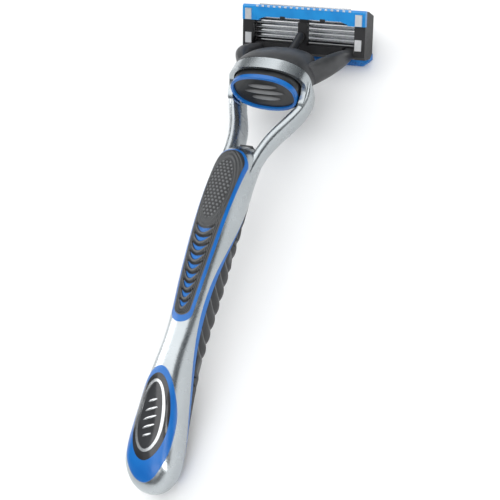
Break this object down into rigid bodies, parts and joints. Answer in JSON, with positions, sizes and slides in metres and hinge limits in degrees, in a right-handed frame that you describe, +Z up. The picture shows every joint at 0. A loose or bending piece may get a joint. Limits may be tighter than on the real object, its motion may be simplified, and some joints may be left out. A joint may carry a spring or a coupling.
{
  "type": "cartridge razor",
  "caption": "Wet-shaving cartridge razor: plated fork-necked handle with elastomer grips, eject button, and a pivoting multi-blade cartridge on a release yoke.",
  "frame": {"origin": "centre of the razor's footprint as it lies on its back, at the level of the table it lies on", "axes": "+Y from the handle's tail to the head, +Z up through the thumb grip, +X along the blades"},
  "size_m": [0.0404, 0.15, 0.0266],
  "materials": {
    "chrome_casting": "bright plated",
    "blue_plastic": "gloss",
    "cap_blue": "satin gloss",
    "grip_elastomer": "matt moulded",
    "guard_elastomer": "matt moulded",
    "black_gloss": "gloss",
    "silver_trim": "satin",
    "dark_plastic": "satin moulded",
    "yoke_plastic": "satin moulded",
    "black_plastic": "satin moulded",
    "blade_steel": "ground",
    "spring_steel": "drawn wire",
    "clip_metal": "satin",
    "lubricant": "waxy"
  },
  "bodies": {
    "handle": {"handle_frame": "chrome_casting", "thumb_grip_carrier": "blue_plastic", "thumb_grip": "grip_elastomer", "rear_grip_carrier": "blue_plastic", "rear_grip": "grip_elastomer", "badge_cap": "blue_plastic", "badge_inlay": "black_gloss", "badge_ring": "silver_trim", "fork_insert": "dark_plastic", "docking_insert": "dark_plastic", "plunger_spring": "spring_steel"},
    "eject_button": {"button_drum": "dark_plastic", "button_rim": "blue_plastic", "button_pad": "grip_elastomer", "ejector_fork": "dark_plastic"},
    "plunger": {"plunger": "dark_plastic"},
    "yoke": {"yoke": "yoke_plastic"},
    "cartridge": {"cartridge_frame": "black_plastic", "trimmer_cap": "cap_blue", "trimmer_blade": "blade_steel", "guard": "guard_elastomer", "lubricating_strip": "lubricant", "retaining_clip_left": "clip_metal", "retaining_clip_right": "clip_metal"},
    "blade_1": {"blade_1": "blade_steel", "blade_support_1": "blade_steel"},
    "blade_2": {"blade_2": "blade_steel", "blade_support_2": "blade_steel"},
    "blade_3": {"blade_3": "blade_steel", "blade_support_3": "blade_steel"},
    "blade_4": {"blade_4": "blade_steel", "blade_support_4": "blade_steel"},
    "blade_5": {"blade_5": "blade_steel", "blade_support_5": "blade_steel"}
  },
  "joints": [
    {"name": "eject_button_press", "type": "slide", "parent": "handle", "child": "eject_button", "axis": [0, 0.9703, -0.2419], "range_m": [0, 0.0022], "stiffness_N_per_m": 700, "springref_m": -0.002},
    {"name": "cartridge_release", "type": "slide", "parent": "handle", "child": "yoke", "axis": [0, 0.9703, -0.2419], "range_m": [0, 0.0022]},
    {"name": "cartridge_pivot", "type": "hinge", "parent": "yoke", "child": "cartridge", "pos_m": [0, 0.06327, 0.00551], "axis": [1, 0, 0], "range_deg": [0, 38], "stiffness_Nm_per_rad": 0.003, "springref_deg": -28.65},
    {"name": "plunger_slide", "type": "slide", "parent": "handle", "child": "plunger", "axis": [0, 0.9703, -0.2419], "range_m": [-0.00348, 0], "deforming": ["plunger_spring"]},
    {"name": "blade_1_float", "type": "slide", "parent": "cartridge", "child": "blade_1", "axis": [0, -0.6494, 0.7604], "range_m": [0, 0.00025], "stiffness_N_per_m": 400, "springref_m": -0.0002},
    {"name": "blade_2_float", "type": "slide", "parent": "cartridge", "child": "blade_2", "axis": [0, -0.6494, 0.7604], "range_m": [0, 0.00025], "stiffness_N_per_m": 400, "springref_m": -0.0002},
    {"name": "blade_3_float", "type": "slide", "parent": "cartridge", "child": "blade_3", "axis": [0, -0.6494, 0.7604], "range_m": [0, 0.00025], "stiffness_N_per_m": 400, "springref_m": -0.0002},
    {"name": "blade_4_float", "type": "slide", "parent": "cartridge", "child": "blade_4", "axis": [0, -0.6494, 0.7604], "range_m": [0, 0.00025], "stiffness_N_per_m": 400, "springref_m": -0.0002},
    {"name": "blade_5_float", "type": "slide", "parent": "cartridge", "child": "blade_5", "axis": [0, -0.6494, 0.7604], "range_m": [0, 0.00025], "stiffness_N_per_m": 400, "springref_m": -0.0002}
  ],
  "couplings": [
    {"joint": "cartridge_release", "follows": "eject_button_press", "ratio": 1},
    {"joint": "plunger_slide", "follows": "cartridge_pivot", "m_per_rad": -0.0052}
  ]
}
